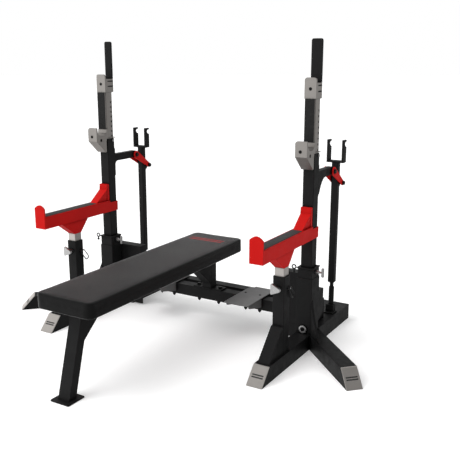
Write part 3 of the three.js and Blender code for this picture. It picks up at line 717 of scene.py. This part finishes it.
def sleeve_ring_pin(tag, side):
    """A black pin with a wire ring on top."""
    foot = at_stand(side, -57, -41, 380)
    stem = [(0.0062, 0.0006), (0.007, 0.0012), (0.007, 0.005), (0.0042, 0.006)]
    stem += [(0.0038, 0.0165), (0.0044, 0.019), (0.0038, 0.0205)]
    centre = foot + Vector((0, 0, 0.0275))
    turns = [math.tau * step / 28 for step in range(28)]
    ring = [centre + Vector((math.cos(turn), 0, math.sin(turn))) * 0.0098 for turn in turns]
    mesh = bmesh.new()
    turned(mesh, stem, foot, (0, 0, 1), 20)
    sweep(mesh, ring, 0.0031, 10, closed=True)
    piece = made_object(f"sleeve_ring_{tag}", mesh, SPRING_WIRE, f"sleeve_pin_{tag}")
    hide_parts(f"sleeve_ring_pin_{tag}")


def post_snap_pin(tag, side):
    """A bright pin in the post's side, with a long dark wire loop hanging from its head."""
    face = at_stand(side, 29, -280, 382)
    stem = [(0.0037, -0.004), (0.0037, 0.0008), (0.0066, 0.001), (0.0068, 0.006), (0.005, 0.0068)]
    stem += [(0.0038, 0.007), (0.0036, 0.0118), (0.002, 0.0122)]
    mesh = bmesh.new()
    turned(mesh, stem, face, (1, 0, 0), 20)
    pin = made_object(f"snap_pin_{tag}", mesh, LOOKS["zinc"], f"post_pin_{tag}")
    half_long = 0.0335
    stand_up = Matrix.Rotation(math.radians(90), 4, "Z") @ Matrix.Rotation(math.radians(90), 4, "X")
    lean = Matrix.Rotation(math.radians(38), 4, "X")
    hang = Matrix.Translation(face + Vector((0.0085, 0, 0)))
    lay = hang @ lean @ stand_up @ Matrix.Translation((0, 0.004 - half_long, 0))
    mesh = bmesh.new()
    sweep(mesh, [lay @ point for point in rounded_loop(0.0125, half_long, 0.0118)], 0.0027, 10, True)
    loop = made_object(f"snap_loop_{tag}", mesh, SPRING_WIRE, f"post_pin_{tag}")
    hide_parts(f"post_ring_pin_{tag}")
    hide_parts(f"post_ring_pin_{tag}")


def tee_pin(tag, side):
    """The sleeve's locking pin: a knurled collar on a spring housing, with a cross grip."""
    face = at_stand(side, 38, 0, 385)
    shaft = [(0.0049, -0.012), (0.0049, 0.0012), (0.0092, 0.0014), (0.0098, 0.002), (0.0098, 0.0085)]
    shaft += [(0.0086, 0.009), (0.0086, 0.0105), (0.0096, 0.011), (0.0096, 0.0168), (0.0088, 0.0178)]
    shaft += [(0.0052, 0.0182), (0.005, 0.034)]
    grip_low = face + Vector((0.038, 0, -0.0225))
    grip = [(0.0048, 0.0), (0.0064, 0.0014), (0.0069, 0.004), (0.0066, 0.0225), (0.0069, 0.041)]
    grip += [(0.0064, 0.0436), (0.0048, 0.045)]
    mesh = bmesh.new()
    turned(mesh, shaft, face, (1, 0, 0), 24)
    turned(mesh, grip, grip_low, (0, 0, 1), 24)
    piece = made_object(f"tee_handle_{tag}", mesh, LOOKS["zinc"], f"tee_pin_{tag}")
    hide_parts(f"sleeve_tee_pin_{tag}")


def arm_strip(tag):
    """The urethane strip along the safety arm, with a crowned top and rolled edges."""
    node = f"arm_pad_{tag}"
    low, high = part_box(node)
    strip = moulded_block(low, high, 0.004, 0.001, 0.0026)
    piece = made_object(f"arm_strip_{tag}", strip, LOOKS["rubber"], f"safety_{tag}")
    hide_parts(node)


# ---------------------------------------------------------------- welds
def weld_bead(name, corners, body, slot="black_paint"):
    """A rippled bead along a polyline of points."""
    path = walked(corners, BEAD_STEP)
    mesh = bmesh.new()
    sweep(mesh, path, lambda step: BEAD * (1 + 0.14 * math.cos(math.tau * step / BEAD_RIPPLE)), 8)
    made_object(name, mesh, LOOKS[slot], body, 80)


def box_round(at, x_half, y_low, y_high, z):
    """The corners of a rectangle at one height, back to its start."""
    corners = ((-x_half, y_low), (x_half, y_low), (x_half, y_high), (-x_half, y_high), (-x_half, y_low))
    return [at(x, y, z) for x, y in corners]


def stand_welds(tag, side):
    """Beads where a stand's post, brace, sleeve, diagonal foot and jack arm are joined on."""

    def at(x, y, z):
        return at_stand(side, x, y, z)

    weld_bead(f"weld_post_{tag}", box_round(at, 29.5, -321, -263, 76.3), "frame")
    brace_foot = [at(-29, -322, 76.3), at(-29, -459, 76.3), at(29, -459, 76.3), at(29, -322, 76.3)]
    weld_bead(f"weld_brace_{tag}", brace_foot, "frame")
    weld_bead(f"weld_brace_top_{tag}", [at(-28, -322, 208), at(28, -322, 208)], "frame")
    sleeve_foot = [at(-39, -42, 77), at(39, -42, 77)]
    weld_bead(f"weld_sleeve_{tag}", sleeve_foot, "frame")
    weld_bead(f"weld_diagonal_{tag}", [at(side * 39.5, -51, 4), at(side * 39.5, -51, 75)], "frame")
    flange = [at(-26, 29, 750), at(26, 29, 750), at(26, 29, 898), at(-26, 29, 898), at(-26, 29, 750)]
    weld_bead(f"weld_jack_arm_{tag}", flange, "frame")


def bench_welds():
    """Beads at the feet of the bench's leg and column."""
    weld_bead("weld_leg_foot", box_round(at_bench, 30, -1062, -1017, 6), "frame")
    weld_bead("weld_column_foot", box_round(at_bench, 28.5, 47.5, 104.5, 179.3), "frame")


# ---------------------------------------------------------------- generic marks on the toe caps
def toe_marks(tag, side):
    """Two thin dark lines on each stainless toe cap, in place of lettering."""
    middle = Matrix.Translation((0, CAP_RUN / 2 - CAP_REACH, CAP_HIGH / 2))
    tilt = Matrix.Rotation(math.atan2(CAP_HIGH, CAP_RUN), 4, "X")
    for name, degrees, root in (("front", 0, 0), ("diagonal", 45 * side, DIAGONAL_ROOT)):
        pivot = Vector((side * STAND_X, UPRIGHT_Y + root, 0))
        turn = Matrix.Translation(pivot) @ Matrix.Rotation(math.radians(degrees), 4, "Z")
        for row, offset in (("upper", 0.0055), ("lower", -0.0055)):
            mesh = bmesh.new()
            loop = rounded_loop(0.028, 0.0031, 0.0025, 4)
            rings = [
                [mesh.verts.new(turn @ middle @ tilt @ (p + Vector((0, offset, height)))) for p in loop]
                for height in (-0.0002, 0.0003)
            ]
            skin(mesh, rings)
            made_object(f"toe_line_{name}_{row}_{tag}", mesh, DARK_INK, "frame")


# ---------------------------------------------------------------- studio
def white_room():
    """A plain white backdrop; the light that the room sheds fades from the horizon to overhead."""
    world = bpy.data.worlds.new("white_room")
    world.use_nodes = True
    tree = world.node_tree
    shed = tree.nodes["Background"]
    shown = tree.nodes.new("ShaderNodeBackground")
    shown.inputs["Color"].default_value = (1, 1, 1, 1)
    shown.inputs["Strength"].default_value = 1.0
    direction = tree.nodes.new("ShaderNodeTexCoord")
    height = tree.nodes.new("ShaderNodeSeparateXYZ")
    steepness = tree.nodes.new("ShaderNodeMath")
    steepness.operation = "ABSOLUTE"
    fade = tree.nodes.new("ShaderNodeMapRange")
    fade.inputs["To Min"].default_value, fade.inputs["To Max"].default_value = ROOM_LIGHT
    sideways = tree.nodes.new("ShaderNodeMapRange")
    sideways.inputs["From Min"].default_value = -0.7
    sideways.inputs["From Max"].default_value = 0.7
    sideways.inputs["To Min"].default_value, sideways.inputs["To Max"].default_value = ROOM_SIDES
    strength = tree.nodes.new("ShaderNodeMath")
    strength.operation = "MULTIPLY"
    backdrop = tree.nodes.new("ShaderNodeLightPath")
    choice = tree.nodes.new("ShaderNodeMixShader")
    shed.inputs["Color"].default_value = (1, 1, 1, 1)
    tree.links.new(direction.outputs["Generated"], height.inputs["Vector"])
    tree.links.new(height.outputs["Z"], steepness.inputs[0])
    tree.links.new(steepness.outputs["Value"], fade.inputs["Value"])
    tree.links.new(height.outputs["X"], sideways.inputs["Value"])
    tree.links.new(fade.outputs["Result"], strength.inputs[0])
    tree.links.new(sideways.outputs["Result"], strength.inputs[1])
    tree.links.new(strength.outputs["Value"], shed.inputs["Strength"])
    tree.links.new(backdrop.outputs["Is Camera Ray"], choice.inputs[0])
    tree.links.new(shed.outputs["Background"], choice.inputs[1])
    tree.links.new(shown.outputs["Background"], choice.inputs[2])
    tree.links.new(choice.outputs["Shader"], tree.nodes["World Output"].inputs["Surface"])
    bpy.context.scene.world = world


def floor():
    """A wide disc of paper under the object, left out of reflections."""
    mesh = bmesh.new()
    bmesh.ops.create_circle(mesh, cap_ends=True, segments=64, radius=FLOOR_RADIUS)
    ground = made_object("floor", mesh, studio_paper("studio_paper"), None)
    ground.location.z = -0.0005
    ground.visible_glossy = False


def broad_light(name, coming_from, spread, strength):
    """Even light from a wide patch of ceiling; it shapes the surfaces and leaves no highlight."""
    light = bpy.data.lights.new(name, "SUN")
    light.angle = math.radians(spread)
    light.energy = strength
    lamp = bpy.data.objects.new(name, light)
    bpy.context.scene.collection.objects.link(lamp)
    lamp.rotation_euler = (-Vector(coming_from)).to_track_quat("-Z", "Y").to_euler()
    lamp.visible_glossy = False


def soft_box(name, position, target, size, power):
    """A square lamp that leaves no highlight."""
    light = bpy.data.lights.new(name, "AREA")
    light.shape = "SQUARE"
    light.size = size
    light.energy = power
    lamp = bpy.data.objects.new(name, light)
    bpy.context.scene.collection.objects.link(lamp)
    lamp.location = position
    lamp.rotation_euler = (Vector(target) - Vector(position)).to_track_quat("-Z", "Y").to_euler()
    lamp.visible_glossy = False


def camera():
    """The view from the foot end's right, at standing height."""
    data = bpy.data.cameras.new("photo_view")
    data.lens = LENS
    data.sensor_width = 36.0
    data.shift_x, data.shift_y = CAMERA_SHIFT
    view = bpy.data.objects.new("photo_view", data)
    bpy.context.scene.collection.objects.link(view)
    view.location = CAMERA_AT
    view.rotation_euler = [math.radians(angle) for angle in CAMERA_TURN]
    bpy.context.scene.camera = view


# ---------------------------------------------------------------- assembly
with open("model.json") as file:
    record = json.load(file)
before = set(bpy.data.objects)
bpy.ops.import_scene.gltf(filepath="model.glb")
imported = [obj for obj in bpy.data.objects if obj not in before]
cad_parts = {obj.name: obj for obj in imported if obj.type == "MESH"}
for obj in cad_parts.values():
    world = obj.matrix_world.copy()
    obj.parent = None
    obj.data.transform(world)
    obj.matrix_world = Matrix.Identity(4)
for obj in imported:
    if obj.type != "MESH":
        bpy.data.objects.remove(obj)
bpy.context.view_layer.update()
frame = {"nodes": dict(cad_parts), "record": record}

for part in frame["record"]["subparts"]:
    dress_cad(frame["nodes"][part["node"]], part["material_slot"])

cushion = bench_cushion()
cushion_stitching(cushion)
pad_marks(cushion)
rail_hardware()
pad_hardware()
bench_welds()
for stand_tag, stand_side in SIDES:
    link_hardware(stand_tag, stand_side)
    bracket_screws(stand_tag, stand_side)
    clamp_slot_shade_strips(stand_tag, stand_side)
    tube_plug(stand_tag)
    sleeve_boss(stand_tag, stand_side)
    sleeve_ring_pin(stand_tag, stand_side)
    post_snap_pin(stand_tag, stand_side)
    tee_pin(stand_tag, stand_side)
    arm_strip(stand_tag)
    stand_welds(stand_tag, stand_side)
    toe_marks(stand_tag, stand_side)

camera()
white_room()
floor()
broad_light("key", **KEY_LIGHT)
broad_light("ceiling", **CEILING_LIGHT)
soft_box("front_box", **FRONT_BOX)
bpy.context.scene.view_settings.view_transform = "Standard"
